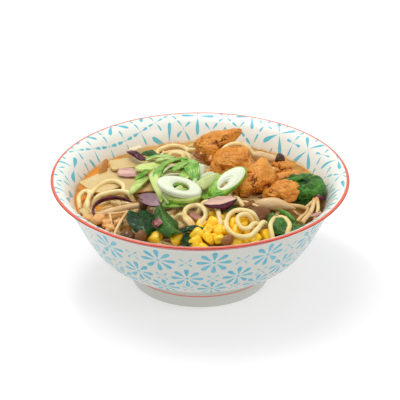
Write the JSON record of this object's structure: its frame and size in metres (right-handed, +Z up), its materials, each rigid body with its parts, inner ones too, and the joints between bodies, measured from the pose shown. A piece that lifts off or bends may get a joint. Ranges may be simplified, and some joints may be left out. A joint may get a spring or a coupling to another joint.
{
  "type": "bowl of ramen noodle soup",
  "caption": "Footed ceramic bowl filled with ramen: noodles in cloudy broth, topped with fried chicken chunks, spring onion, spinach, mushrooms, red onion, bamboo and corn.",
  "frame": {"origin": "centre of the foot ring, on the surface that the bowl stands on", "axes": "+Z up through the bowl's open top, -Y towards the side that faces the viewer, +X to the viewer's right"},
  "size_m": [0.21, 0.21, 0.0884],
  "materials": {
    "bowl_glaze": "glossy white glaze with a blue printed pattern, inside and out, and an orange-red rim band",
    "broth": null,
    "noodles": null,
    "fried_chicken": null,
    "spring_onion": null,
    "spinach": null,
    "mushroom": null,
    "red_onion": null,
    "bamboo": null,
    "sweetcorn": null
  },
  "bodies": {
    "root": {"bowl": "bowl_glaze", "broth": "broth", "noodle_heap": "noodles", "bamboo_slab_1": "bamboo", "bamboo_slab_2": "bamboo", "bamboo_slab_3": "bamboo", "bamboo_slab_4": "bamboo", "bamboo_block": "bamboo", "peel_slice": "bamboo", "spinach_leaf_1": "spinach", "spinach_leaf_2": "spinach", "spinach_ribbon": "spinach", "spinach_leaf_3": "spinach", "spinach_clump_right": "spinach", "spinach_leaf_4": "spinach", "spinach_leaf_5": "spinach", "spinach_curl": "spinach", "red_onion_1": "red_onion", "red_onion_2": "red_onion", "red_onion_arc": "red_onion", "red_onion_3": "red_onion", "red_onion_4": "red_onion", "red_onion_5": "red_onion", "red_onion_6": "red_onion", "mushroom_1": "mushroom", "mushroom_2": "mushroom", "mushroom_cap_1": "mushroom", "mushroom_cap_2": "mushroom", "mushroom_cap_3": "mushroom", "mushroom_cap_4": "mushroom", "mushroom_stem": "mushroom", "corn_heap": "sweetcorn", "corn_kernel_1": "sweetcorn", "corn_kernel_2": "sweetcorn", "corn_kernel_3": "sweetcorn", "corn_kernel_4": "sweetcorn", "chicken_chunk_1": "fried_chicken", "chicken_chunk_2": "fried_chicken", "chicken_chunk_3": "fried_chicken", "chicken_chunk_4": "fried_chicken", "chicken_chunk_5": "fried_chicken", "chicken_chunk_6": "fried_chicken", "chicken_chunk_7": "fried_chicken", "spring_onion_dark_strip": "spring_onion", "spring_onion_end": "spring_onion", "spring_onion_pale_slice": "spring_onion", "spring_onion_strip_1": "spring_onion", "spring_onion_tip": "spring_onion", "spring_onion_strip_2": "spring_onion", "spring_onion_loop": "spring_onion", "spring_onion_white_end": "spring_onion", "spring_onion_underslice": "spring_onion", "spring_onion_white_ring": "spring_onion", "spring_onion_crescent_1": "spring_onion", "spring_onion_crescent_2": "spring_onion", "spring_onion_oval_slice": "spring_onion", "spring_onion_curled_strip": "spring_onion", "red_onion_petal": "red_onion", "noodle_on_chicken": "noodles"}
  },
  "joints": []
}
